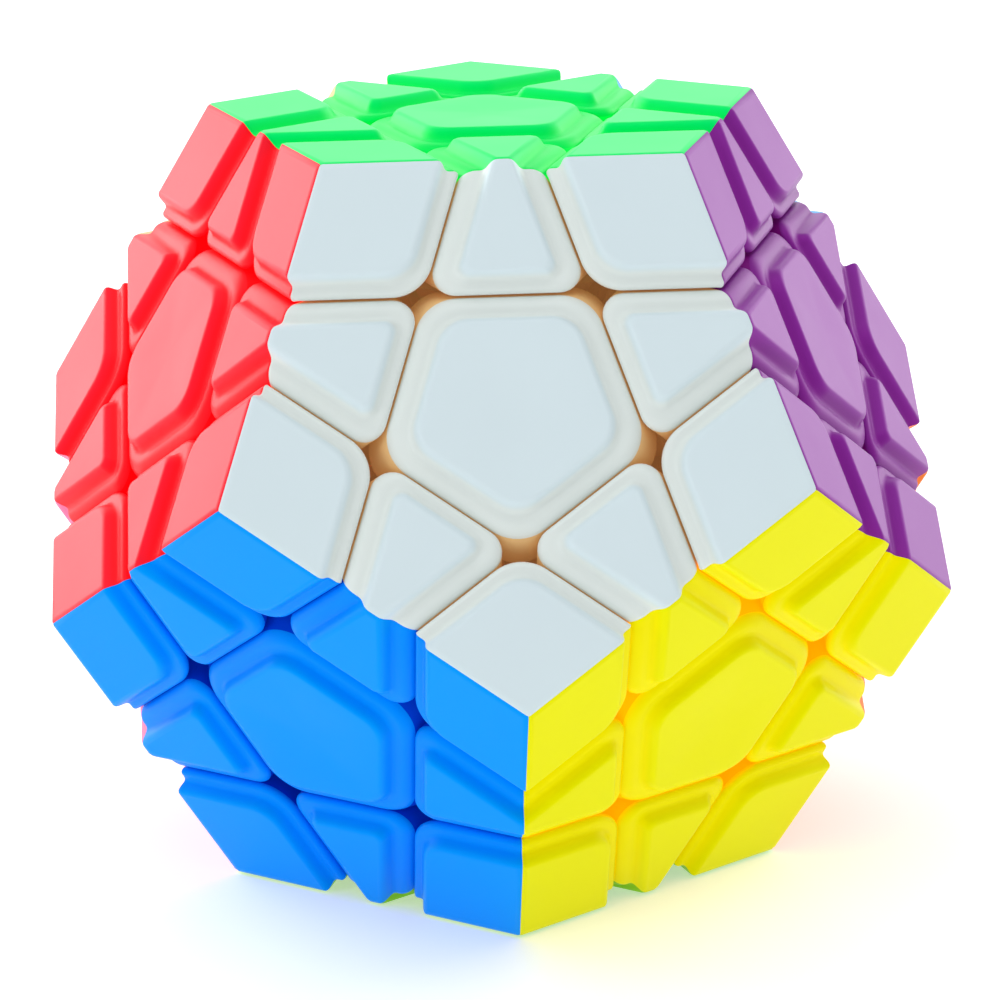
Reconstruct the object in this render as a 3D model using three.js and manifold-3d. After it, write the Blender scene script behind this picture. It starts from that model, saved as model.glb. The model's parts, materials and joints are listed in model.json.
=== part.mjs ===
// A face-turning dodecahedron puzzle: a hub with twelve posts, twelve centre caps that turn on screws,
// thirty edge pieces and twenty corner pieces, all held by the feet that they hook under one another.
// The colours are moulded through, so there are no stickers: each piece carries a raised panel on each
// of its outer sides.
//
// Millimetres, +Z up. The puzzle stands on its lime face, and the origin is the middle of that face.

import * as THREE from 'three';
import { mergeVertices } from 'three/addons/utils/BufferGeometryUtils.js';
import Module from 'manifold-3d';

const wasm = await Module();
wasm.setup();

// ---------------------------------------------------------------- driving dimensions

const EDGE = 34;            // edge of the dodecahedron, measured over the raised panels
const PANEL_RISE = 1.2;     // height of a raised panel above the body of its piece
const PANEL_INSET = 1.9;    // from the side of a piece to the side of its panel
const LAYER_DEPTH = 12.2;   // from a face down to the flat that its layer turns on
const CUT_GAP = 0.36;       // clearance between two layers at the flat
const RUN_GAP = 0.5;        // clearance between two pieces at their necks and feet

const NECK_ANGLE = 43;      // from a face's axis to the border of its layer, where the flat ends, degrees
const FOOT_ANGLE = 50;      // the same at the underside of the feet, so every foot is a dovetail
const FOOT_END = 20.3;      // distance from the middle to the flat underside of a foot
const LATHE_SIDES = 15;     // flats round the border of a layer

const CORNER_ROUND = { radius: 4.2, steps: 2 };    // the inner tip of a corner piece
const EDGE_ROUND = { radius: 2.0, steps: 1 };      // the two inner tips of an edge piece
const CENTRE_ROUND = { radius: 4.2, steps: 2 };    // the five tips of a centre
const ROUND_FOOT = 35.2;    // distance from the middle at which these rounds end

const CORNER_PANEL_ROUND = { radius: 3.4, steps: 2 };
const EDGE_PANEL_ROUND = { radius: 1.0, steps: 1 };
const CENTRE_PANEL_ROUND = { radius: 3.2, steps: 2 };
const SHARP = { radius: 0, steps: 0 };

const HUB_INRADIUS = 12;    // twelve-sided block in the middle of the core
const POST_RADIUS = 4.2;
const POST_END = 19.9;
const SHANK_RADIUS = 1.4;   // screw that holds a centre to its post
const HEAD_RADIUS = 3.2;
const HEAD_FROM = 29.5;
const HEAD_TO = 31.5;
const BORE_RADIUS = 1.9;    // hole in the foot of a centre that the screw passes through
const WELL_RADIUS = 4.0;    // well over it, which holds the spring and the screw's head
const WELL_FROM = 23;
const WELL_TO = 33.6;
const BORE_SIDES = 8;       // flats round the posts and the bores
const SCREW_SIDES = 6;      // flats round the screws
const BRIDGE = 3;           // side of the block that joins two pieces which never part

// ---------------------------------------------------------------- the twelve faces

const degrees = Math.PI / 180;
const FACE_TILT = Math.acos(1 / Math.sqrt(5));        // between the axes of two neighbouring faces
const INRADIUS = EDGE * Math.sqrt(250 + 110 * Math.sqrt(5)) / 20;
const BODY_INRADIUS = INRADIUS - PANEL_RISE;
const CUT_DISTANCE = INRADIUS - LAYER_DEPTH;

function axisAt(tilt, azimuth) {
  return new THREE.Vector3().setFromSphericalCoords(1, tilt, azimuth * degrees + Math.PI / 2)
    .applyAxisAngle(new THREE.Vector3(1, 0, 0), Math.PI / 2);
}

const FACES = {
  green: { axis: axisAt(0, 0), colour: '#12c95a' },
  white: { axis: axisAt(FACE_TILT, -90), colour: '#e9ecea' },
  purple: { axis: axisAt(FACE_TILT, -18), colour: '#8d3aa6' },
  sky: { axis: axisAt(FACE_TILT, 54), colour: '#7cc8f0' },
  cream: { axis: axisAt(FACE_TILT, 126), colour: '#efe3b4' },
  red: { axis: axisAt(FACE_TILT, 198), colour: '#f0323f' },
  grey: { axis: axisAt(Math.PI - FACE_TILT, 90), colour: '#8b8f93' },
  pink: { axis: axisAt(Math.PI - FACE_TILT, 162), colour: '#f291bd' },
  blue: { axis: axisAt(Math.PI - FACE_TILT, 234), colour: '#0a84f2' },
  yellow: { axis: axisAt(Math.PI - FACE_TILT, 306), colour: '#f2e50a' },
  orange: { axis: axisAt(Math.PI - FACE_TILT, 18), colour: '#f58220' },
  lime: { axis: axisAt(Math.PI, 0), colour: '#a6e22e' },
};
const NAMES = Object.keys(FACES);

const axisOf = (name) => FACES[name].axis;
const touching = (a, b) => a !== b && axisOf(a).dot(axisOf(b)) > 0.4;

// The neighbours of a face, counter-clockwise as seen from outside, from a given one on.
function ringAround(name, first) {
  const axis = axisOf(name);
  const start = axisOf(first).clone().projectOnPlane(axis).normalize();
  const side = axis.clone().cross(start);
  const turn = (other) => {
    const flat = axisOf(other);
    return (Math.atan2(flat.dot(side), flat.dot(start)) + 2 * Math.PI + 0.01) % (2 * Math.PI);
  };
  return NAMES.filter((other) => touching(name, other)).sort((a, b) => turn(a) - turn(b));
}

// ---------------------------------------------------------------- solids

function toSolid(geometry, matrix = new THREE.Matrix4()) {
  const bare = geometry.clone().applyMatrix4(matrix);
  bare.deleteAttribute('normal');
  bare.deleteAttribute('uv');
  const merged = mergeVertices(bare, 1e-4);
  const index = merged.index.array;
  const triangles = [];
  for (let i = 0; i < index.length; i += 3) {
    const [a, b, c] = index.slice(i, i + 3);
    if (a !== b && b !== c && c !== a) triangles.push(a, b, c);
  }
  return new wasm.Manifold(new wasm.Mesh({
    numProp: 3,
    vertProperties: new Float32Array(merged.attributes.position.array),
    triVerts: new Uint32Array(triangles),
  }));
}

function toGeometry(solid) {
  const { vertProperties, triVerts } = solid.getMesh();
  const geometry = new THREE.BufferGeometry();
  geometry.setAttribute('position', new THREE.BufferAttribute(vertProperties, 3));
  geometry.setIndex(new THREE.BufferAttribute(triVerts, 1));
  geometry.computeVertexNormals();
  return geometry;
}

const joined = (solids) => solids.reduce((sum, solid) => sum.add(solid));
const common = (solids) => solids.reduce((rest, solid) => rest.intersect(solid));
const without = (solid, cutters) => cutters.reduce((rest, cutter) => rest.subtract(cutter), solid);

// Matrix that lays X, Y and Z along three unit vectors, with its origin at a point.
function placed(x, y, z, point = new THREE.Vector3()) {
  return new THREE.Matrix4().makeBasis(x, y, z).setPosition(point);
}

// Matrix that stands Y along a face axis and points Z at one of the neighbours, for turned shapes.
function turnedOn(axis) {
  const other = NAMES.map(axisOf).find((next) => Math.abs(next.dot(axis)) < 0.9);
  const z = other.clone().projectOnPlane(axis).normalize();
  return placed(axis.clone().cross(z), axis, z);
}

// A solid turned about a face axis from [radius, height] points, bottom to top.
function turned(points, axis, sides) {
  const profile = points.map(([radius, height]) => new THREE.Vector2(radius, height));
  return toSolid(new THREE.LatheGeometry(profile, sides), turnedOn(axis));
}

const REACH = 60;           // beyond every piece

// Everything on the inner side of a plane across an axis, or on its outer side.
function slab(axis, distance, side, reach) {
  const block = new THREE.BoxGeometry(2 * reach, reach, 2 * reach);
  block.translate(0, distance + side * reach / 2, 0);
  return toSolid(block, turnedOn(axis));
}
const below = (axis, distance) => slab(axis, distance, -1, 2 * REACH);
const above = (axis, distance) => slab(axis, distance, 1, 4 * REACH);

// ---------------------------------------------------------------- the border of a layer

// The space of the layer that turns about one face: everything beyond the flat that shows as the groove
// across the faces, and a cone from there down round the feet. The cone closes towards the middle more
// slowly than straight rays would, so that a foot is wider than its neck and can't be pulled out
// between its neighbours. It is grown or shrunk by the two clearances, side = 1 or -1.
function layer(name, side) {
  const neckRadius = CUT_DISTANCE * Math.tan(NECK_ANGLE * degrees);
  const footRadius = FOOT_END * Math.sin(FOOT_ANGLE * degrees);
  const footHeight = FOOT_END * Math.cos(FOOT_ANGLE * degrees);
  const slope = (neckRadius - footRadius) / (CUT_DISTANCE - footHeight);
  // a grown cone is measured over its flats, a shrunk one over its corners
  const spread = side > 0 ? 1 / Math.cos(Math.PI / LATHE_SIDES) : 1;
  const shift = side * RUN_GAP / 2 * Math.hypot(1, slope);
  const radiusAt = (height) => (neckRadius + shift + slope * (height - CUT_DISTANCE)) * spread;
  const tipHeight = CUT_DISTANCE - (neckRadius + shift) / slope;
  const top = CUT_DISTANCE + 1;
  const cone = turned([[0, tipHeight], [radiusAt(top), top], [0, top]], axisOf(name), LATHE_SIDES);
  return cone.add(above(axisOf(name), CUT_DISTANCE - side * CUT_GAP / 2));
}

const inside = (name) => layer(name, -1);
const outside = (name) => layer(name, 1);

// ---------------------------------------------------------------- rounds and panels

// The strip that rounds the edge of a piece where the flats of two layers meet, under one face.
// Each flat is given by its face and by whether the piece is in that layer (1) or not (-1).
function roundStrip(face, [one, inOne], [two, inTwo], { radius, steps }) {
  const outOne = axisOf(one).clone().multiplyScalar(-inOne);
  const outTwo = axisOf(two).clone().multiplyScalar(-inTwo);
  const run = outOne.clone().cross(outTwo).normalize();
  if (run.dot(axisOf(face)) < 0) run.negate();
  const inward = outOne.clone().add(outTwo).normalize().negate();
  const across = inward.clone().cross(run);
  const half = (Math.PI - outOne.angleTo(outTwo)) / 2;

  // the point of the two flats' common line that is nearest to the middle of the puzzle
  const gram = axisOf(one).dot(axisOf(two));
  const depthOne = CUT_DISTANCE + inOne * CUT_GAP / 2;
  const depthTwo = CUT_DISTANCE + inTwo * CUT_GAP / 2;
  const near = axisOf(one).clone().multiplyScalar((depthOne - gram * depthTwo) / (1 - gram * gram));
  near.addScaledVector(axisOf(two), (depthTwo - gram * depthOne) / (1 - gram * gram));
  const start = Math.sqrt(ROUND_FOOT ** 2 - near.lengthSq());

  // the arc starts just outside each flat, so that it meets the flat at a clean crossing
  const outsideFlat = 0.04;
  const clear = 2;
  const touchX = radius * Math.cos(half);
  const touchY = radius * Math.cos(half) ** 2 / Math.sin(half);
  const outline = new THREE.Shape();
  outline.moveTo(touchX, touchY);
  outline.absarc(0, (radius - outsideFlat) / Math.sin(half), radius, -half, half - Math.PI, true);
  outline.lineTo(-touchX - clear * Math.cos(half), touchY - clear * Math.sin(half));
  outline.lineTo(0, -2 * clear);
  outline.lineTo(touchX + clear * Math.cos(half), touchY - clear * Math.sin(half));
  const strip = new THREE.ExtrudeGeometry(outline, {
    depth: REACH, bevelEnabled: false, curveSegments: steps,
  });
  return toSolid(strip, placed(across, inward, run, near.addScaledVector(run, start)));
}

// Distance from the middle of a face to the flat of a neighbour's layer, on the body of the pieces.
const CUT_APOTHEM = (CUT_DISTANCE - BODY_INRADIUS * Math.cos(FACE_TILT)) / Math.sin(FACE_TILT);

// Where two lines cross, each given by the unit normal (r, h) and its distance d from zero.
function meet(one, two) {
  const scale = one.r * two.h - one.h * two.r;
  return [(one.d * two.h - two.d * one.h) / scale, (one.r * two.d - two.r * one.d) / scale];
}

// Corner points of an outline whose sides are lines at given distances and directions, in order.
function cornersOf(sides) {
  return sides.map((side, i) => {
    const next = sides[(i + 1) % sides.length];
    const [x, y] = meet(
      { r: Math.cos(side.angle), h: Math.sin(side.angle), d: side.distance },
      { r: Math.cos(next.angle), h: Math.sin(next.angle), d: next.distance },
    );
    return { x, y, round: side.round };
  });
}

// An outline of straight sides with a round of its own at each corner.
function roundedOutline(corners) {
  const points = [];
  corners.forEach((corner, i) => {
    const here = new THREE.Vector2(corner.x, corner.y);
    const { radius, steps } = corner.round;
    if (radius === 0) {
      points.push(here);
      return;
    }
    const before = corners[(i + corners.length - 1) % corners.length];
    const after = corners[(i + 1) % corners.length];
    const back = new THREE.Vector2(before.x, before.y).sub(here).normalize();
    const ahead = new THREE.Vector2(after.x, after.y).sub(here).normalize();
    const half = Math.acos(back.dot(ahead)) / 2;
    const heart = back.clone().add(ahead).setLength(radius / Math.sin(half)).add(here);
    const from = back.multiplyScalar(radius / Math.tan(half)).add(here).sub(heart);
    const sweep = Math.PI - 2 * half;
    for (let k = 0; k <= steps; k += 1) {
      points.push(from.clone().rotateAround(new THREE.Vector2(), sweep * k / steps).add(heart));
    }
  });
  return new THREE.Shape(points);
}

// The moat round a panel: what is cut away down to the body, all round the panel's outline. The
// outline is laid with X towards one neighbour.
function moat(face, towards, sides) {
  const axis = axisOf(face);
  const x = axisOf(towards).clone().projectOnPlane(axis).normalize();
  const y = axis.clone().cross(x);
  const from = BODY_INRADIUS - PANEL_RISE;
  const prism = new THREE.ExtrudeGeometry(roundedOutline(cornersOf(sides)), {
    depth: 3 * PANEL_RISE, bevelEnabled: false,
  });
  const standing = toSolid(prism, placed(x, y, axis, axis.clone().multiplyScalar(from)));
  return above(axis, BODY_INRADIUS).subtract(standing);
}

const FIFTH = 2 * Math.PI / 5;
const OWN_SIDE = CUT_APOTHEM + PANEL_INSET;       // panel side next to a layer that the piece is in
const FAR_SIDE = CUT_APOTHEM - PANEL_INSET;       // panel side next to a layer that it isn't in
const RIM = EDGE / 2 / Math.tan(FIFTH / 2) + 1;    // just beyond the rim of the face
const TIP = EDGE / 2 / Math.sin(FIFTH / 2) + 1;    // just beyond its corners

// What the layers leave of the dodecahedron: the faces of a piece and the layers that it is in.
function block(faces) {
  return common(faces.flatMap((face) => [below(axisOf(face), INRADIUS), inside(face)]));
}

// ---------------------------------------------------------------- the three kinds of piece

function cornerPiece([a, b, c]) {
  const panelSides = [
    { angle: Math.PI, distance: -OWN_SIDE, round: CORNER_PANEL_ROUND },
    { angle: FIFTH + Math.PI, distance: -OWN_SIDE, round: SHARP },
    { angle: FIFTH / 2, distance: TIP, round: SHARP },
  ];
  const tip = axisOf(a).clone().add(axisOf(b)).add(axisOf(c)).normalize();
  return without(block([a, b, c]), [
    below(tip, FOOT_END),
    ...[[a, b, c], [b, c, a], [c, a, b]].flatMap(([face, one, two]) => [
      moat(face, one, panelSides),
      roundStrip(face, [one, 1], [two, 1], CORNER_ROUND),
    ]),
  ]);
}

function edgePiece([a, b]) {
  const panelSides = [
    { angle: Math.PI, distance: -OWN_SIDE, round: EDGE_PANEL_ROUND },
    { angle: -FIFTH, distance: FAR_SIDE, round: SHARP },
    { angle: 0, distance: RIM, round: SHARP },
    { angle: FIFTH, distance: FAR_SIDE, round: EDGE_PANEL_ROUND },
  ];
  const tip = axisOf(a).clone().add(axisOf(b)).normalize();
  const ends = NAMES.filter((name) => touching(name, a) && touching(name, b));
  return without(block([a, b]), [
    below(tip, FOOT_END),
    ...ends.map(outside),
    ...[[a, b], [b, a]].flatMap(([face, other]) => [
      moat(face, other, panelSides),
      ...ends.map((end) => roundStrip(face, [other, 1], [end, -1], EDGE_ROUND)),
    ]),
  ]);
}

function centrePiece(a, first, bored) {
  const ring = ringAround(a, first);
  const panelSides = ring.map((name, i) => (
    { angle: i * FIFTH, distance: FAR_SIDE, round: CENTRE_PANEL_ROUND }
  ));
  const bore = [
    [0, FOOT_END - 1], [BORE_RADIUS, FOOT_END - 1], [BORE_RADIUS, WELL_FROM],
    [WELL_RADIUS, WELL_FROM], [WELL_RADIUS, WELL_TO], [0, WELL_TO],
  ];
  return without(block([a]), [
    below(axisOf(a), FOOT_END),
    moat(a, first, panelSides),
    ...(bored ? [turned(bore, axisOf(a), BORE_SIDES)] : []),
    ...ring.map(outside),
    ...ring.map((name, i) => roundStrip(a, [name, -1], [ring[(i + 1) % 5], -1], CENTRE_ROUND)),
  ]);
}

// The hub, its twelve posts and the screws in them.
function corePiece() {
  const hub = common(NAMES.map((name) => below(axisOf(name), HUB_INRADIUS)));
  const post = [[0, 1], [POST_RADIUS, 1], [POST_RADIUS, POST_END], [0, POST_END]];
  const screw = [
    [0, 1], [SHANK_RADIUS, 1], [SHANK_RADIUS, HEAD_FROM],
    [HEAD_RADIUS, HEAD_FROM], [HEAD_RADIUS, HEAD_TO], [0, HEAD_TO],
  ];
  const arms = NAMES.flatMap((name) => [
    turned(post, axisOf(name), BORE_SIDES), turned(screw, axisOf(name), SCREW_SIDES),
  ]);
  return joined([hub, ...arms]);
}

// ---------------------------------------------------------------- the pieces in their places

// Rotation that carries one set of face axes onto another.
function carry(from, to) {
  const basis = (names) => {
    const x = axisOf(names[0]).clone();
    const z = x.clone().cross(axisOf(names[1])).normalize();
    return placed(x, z.clone().cross(x), z);
  };
  return basis(to).multiply(basis(from).invert());
}

const PATTERN = ['green', 'white', 'purple'];
const centrePattern = centrePiece(PATTERN[0], PATTERN[1], true);
const edgePattern = edgePiece(PATTERN.slice(0, 2));
const cornerPattern = cornerPiece(PATTERN);

const centres = NAMES.map((name) => {
  const first = NAMES.find((other) => touching(name, other));
  return { name: `centre_${name}`, face: name, solid: centrePattern, turn: carry(PATTERN, [name, first]) };
});

const edges = NAMES.flatMap((one, i) => NAMES.slice(i + 1)
  .filter((two) => touching(one, two))
  .map((two) => (
    { name: `edge_${one}_${two}`, face: one, solid: edgePattern, turn: carry(PATTERN, [one, two]) }
  )));

const corners = NAMES.flatMap((one, i) => NAMES.slice(i + 1).flatMap((two, j) => NAMES.slice(i + j + 2)
  .filter((three) => touching(one, two) && touching(two, three) && touching(one, three))
  .map((three) => {
    const counterClockwise = axisOf(one).clone().cross(axisOf(two)).dot(axisOf(three)) > 0;
    const turn = carry(PATTERN, counterClockwise ? [one, two] : [one, three]);
    return { name: `corner_${one}_${two}_${three}`, face: one, solid: cornerPattern, turn };
  })));

const pieces = new Map([...centres, ...edges, ...corners].map((piece) => [piece.name, piece]));
pieces.set('core', { name: 'core', face: 'core', solid: corePiece(), turn: new THREE.Matrix4() });

// ---------------------------------------------------------------- pieces that never part

// The lime face is the one that the puzzle is held by, so its centre is pulled tight on its post, and
// the pieces below the flat of its layer stay with the pieces above it. Three such pairs are each made
// as one piece: the lime centre is one with the core, and a block across the flat joins the others.
const lime = axisOf('lime');
const limeCentre = centrePiece('lime', 'grey', false);
const limePost = turned([[0, 1], [POST_RADIUS, 1], [POST_RADIUS, WELL_FROM], [0, WELL_FROM]], lime, BORE_SIDES);
pieces.get('core').solid = joined([pieces.get('core').solid, limePost, limeCentre]);
pieces.delete('centre_lime');

// A block across the flat of the lime layer, under the middle of the faces that two pieces share.
function bridgeUnder(faces) {
  const out = faces.reduce((sum, face) => sum.add(axisOf(face)), new THREE.Vector3());
  const x = out.projectOnPlane(lime).normalize();
  const depth = INRADIUS - 2 * BRIDGE;
  const reach = (depth - CUT_DISTANCE * lime.dot(axisOf(faces[0]))) / x.dot(axisOf(faces[0]));
  const centre = lime.clone().multiplyScalar(CUT_DISTANCE).addScaledVector(x, reach);
  const block = new THREE.BoxGeometry(BRIDGE, BRIDGE, BRIDGE);
  return toSolid(block, placed(x, lime.clone().cross(x), lime, centre));
}

function joinPair(kept, taken, faces) {
  const [stays, goes] = [kept, taken].map((name) => pieces.get(name));
  const world = ({ solid, turn }) => toSolid(toGeometry(solid), turn);
  stays.solid = joined([world(stays), world(goes), bridgeUnder(faces)]);
  stays.turn = new THREE.Matrix4();
  pieces.delete(taken);
}
joinPair('centre_grey', 'edge_grey_lime', ['grey']);
joinPair('edge_grey_orange', 'corner_grey_orange_lime', ['grey', 'orange']);

// ---------------------------------------------------------------- assembly

const group = new THREE.Group();
group.position.z = INRADIUS;
for (const { name, face, solid, turn } of pieces.values()) {
  const colour = face === 'core' ? '#26282b' : FACES[face].colour;
  const material = new THREE.MeshStandardMaterial({ color: colour, roughness: 0.42, metalness: 0 });
  const mesh = new THREE.Mesh(toGeometry(solid), material);
  mesh.name = name;
  mesh.applyMatrix4(turn);
  group.add(mesh);
}

export default group;
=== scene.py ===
import json
import math

import bmesh
import bpy
import numpy as np
from mathutils import Matrix, Vector

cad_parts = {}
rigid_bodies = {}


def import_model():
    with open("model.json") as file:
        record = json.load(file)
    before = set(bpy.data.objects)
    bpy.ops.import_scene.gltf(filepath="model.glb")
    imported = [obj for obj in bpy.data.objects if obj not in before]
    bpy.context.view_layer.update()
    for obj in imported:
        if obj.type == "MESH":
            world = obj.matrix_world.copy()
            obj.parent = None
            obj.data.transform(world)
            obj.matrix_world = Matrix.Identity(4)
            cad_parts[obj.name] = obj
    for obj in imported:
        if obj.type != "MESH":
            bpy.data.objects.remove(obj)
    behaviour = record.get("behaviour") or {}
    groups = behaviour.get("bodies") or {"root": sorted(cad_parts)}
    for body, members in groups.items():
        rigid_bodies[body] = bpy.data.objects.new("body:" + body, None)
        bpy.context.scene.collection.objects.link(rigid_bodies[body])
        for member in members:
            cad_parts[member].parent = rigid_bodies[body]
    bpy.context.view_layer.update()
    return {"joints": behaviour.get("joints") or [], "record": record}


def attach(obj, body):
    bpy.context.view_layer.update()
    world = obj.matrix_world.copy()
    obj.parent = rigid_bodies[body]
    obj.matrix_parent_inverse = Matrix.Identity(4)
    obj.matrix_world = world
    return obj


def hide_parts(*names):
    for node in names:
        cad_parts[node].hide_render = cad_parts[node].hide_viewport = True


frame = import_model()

record = frame["record"]
bodies = record["behaviour"]["bodies"]


# ------------------------------------------------------------------ core
# The core is one moulding of dark nylon: a twelve-sided hub with a round post towards each face. Each
# post has a drilled end that its screw cuts a thread in, and a small fillet where it leaves the hub.

# Lengths are in millimetres from the middle of the puzzle, and go to metres where a mesh is made.
turning = [j for j in frame["joints"] if j["parent"] == "core"]
middle = Vector(turning[0]["pos_m"]) * 1000
axis = {j["child"].split("_")[1]: Vector(j["axis"]).normalized() for j in turning}
axis["lime"] = -axis["green"]
colours = [m["slot"] for m in record["materials"] if m["slot"] in axis]

# the share of a dodecahedron's corner radius that its faces lie at
FACE_SHARE = 0.7947
HUB_INRADIUS = 11.8
HUB_EDGE_ROUND = 0.9
POST_RADIUS = 4.1
POST_END = 19.8
POST_FILLET = 1.2
POST_CHAMFER = 0.35
POST_ROOT = 1
PILOT_RADIUS = 1.45
PILOT_CHAMFER = 0.3
PILOT_FLOOR = 13.5
DRILL_POINT = 0.4
POST_SIDES = 40


def make_piece(name, points, faces, materials, sharp=38.0):
    """A piece from points in millimetres about the middle, and (corner numbers, material number) faces."""
    mesh = bpy.data.meshes.new(name)
    bm = bmesh.new()
    corners = [bm.verts.new(p) for p in points]
    for ring, number in faces:
        try:
            face = bm.faces.new([corners[i] for i in ring])
        except ValueError:
            continue
        face.material_index = number
        face.smooth = True
    bmesh.ops.remove_doubles(bm, verts=bm.verts, dist=0.0004)
    bmesh.ops.dissolve_degenerate(bm, edges=bm.edges, dist=0.0002)
    bmesh.ops.recalc_face_normals(bm, faces=bm.faces)
    bm.transform(Matrix.Scale(0.001, 4) @ Matrix.Translation(middle))
    bm.to_mesh(mesh)
    bm.free()
    mesh.set_sharp_from_angle(angle=math.radians(sharp))
    for material in materials:
        mesh.materials.append(material)
    piece = bpy.data.objects.new(name, mesh)
    bpy.context.scene.collection.objects.link(piece)
    return piece


def square_to(direction):
    """Two unit vectors square to a direction and to each other, the first as near X as it can be."""
    across = Vector((1, 0, 0)) if abs(direction.x) < 0.9 else Vector((0, 1, 0))
    first = (across - direction * across.dot(direction)).normalized()
    return first, direction.cross(first)


def turned(profile, direction, sides, number=0):
    """Points and faces of a body turned about a direction, from (radius, height) pairs."""
    first, second = square_to(direction)
    points, faces = [], []
    for radius, height in profile:
        for k in range(sides):
            a = 2 * math.pi * k / sides
            points.append(direction * height + (first * math.cos(a) + second * math.sin(a)) * max(radius, 1e-5))
    for i in range(len(profile) - 1):
        for k in range(sides):
            k2 = (k + 1) % sides
            faces.append(((i * sides + k, i * sides + k2, (i + 1) * sides + k2, (i + 1) * sides + k), number))
    return points, faces


def joined(shells):
    """Several (points, faces) as one."""
    points, faces = [], []
    for more, rings in shells:
        start = len(points)
        points += more
        faces += [(tuple(i + start for i in ring), number) for ring, number in rings]
    return points, faces


def touch(*faces):
    """Whether each of some faces shares an edge with all the others."""
    return all(axis[a].dot(axis[b]) > 0.4 for i, a in enumerate(faces) for b in faces[i + 1:])


def hub():
    """The twelve-sided block, with its edges rounded."""
    bm = bmesh.new()
    for a in colours:
        for b in colours:
            for c in colours:
                if a < b < c and touch(a, b, c):
                    bm.verts.new((axis[a] + axis[b] + axis[c]).normalized() * HUB_INRADIUS / FACE_SHARE)
    bmesh.ops.convex_hull(bm, input=bm.verts)
    bmesh.ops.dissolve_limit(bm, angle_limit=math.radians(5), verts=bm.verts, edges=bm.edges)
    bmesh.ops.bevel(bm, geom=bm.edges, offset=HUB_EDGE_ROUND, segments=3, profile=0.5, affect="EDGES")
    bm.verts.index_update()
    points = [v.co.copy() for v in bm.verts]
    faces = [(tuple(v.index for v in f.verts), 0) for f in bm.faces]
    bm.free()
    return points, faces


def post(direction):
    """A post from inside the hub to its chamfered end, and down its drilled hole."""
    fillet = [
        (POST_RADIUS + POST_FILLET * (1 - math.sin(t)), HUB_INRADIUS + POST_FILLET * (1 - math.cos(t)))
        for t in (0.0, 0.4, 0.8, 1.2, math.pi / 2)
    ]
    root = HUB_INRADIUS - POST_ROOT
    profile = [(0, root), (POST_RADIUS + POST_FILLET, root)] + fillet
    profile += [(POST_RADIUS, POST_END - POST_CHAMFER), (POST_RADIUS - POST_CHAMFER, POST_END)]
    profile += [(PILOT_RADIUS + PILOT_CHAMFER, POST_END), (PILOT_RADIUS, POST_END - PILOT_CHAMFER)]
    profile += [(PILOT_RADIUS, PILOT_FLOOR), (0, PILOT_FLOOR - DRILL_POINT)]
    return turned(profile, direction, POST_SIDES)


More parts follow.
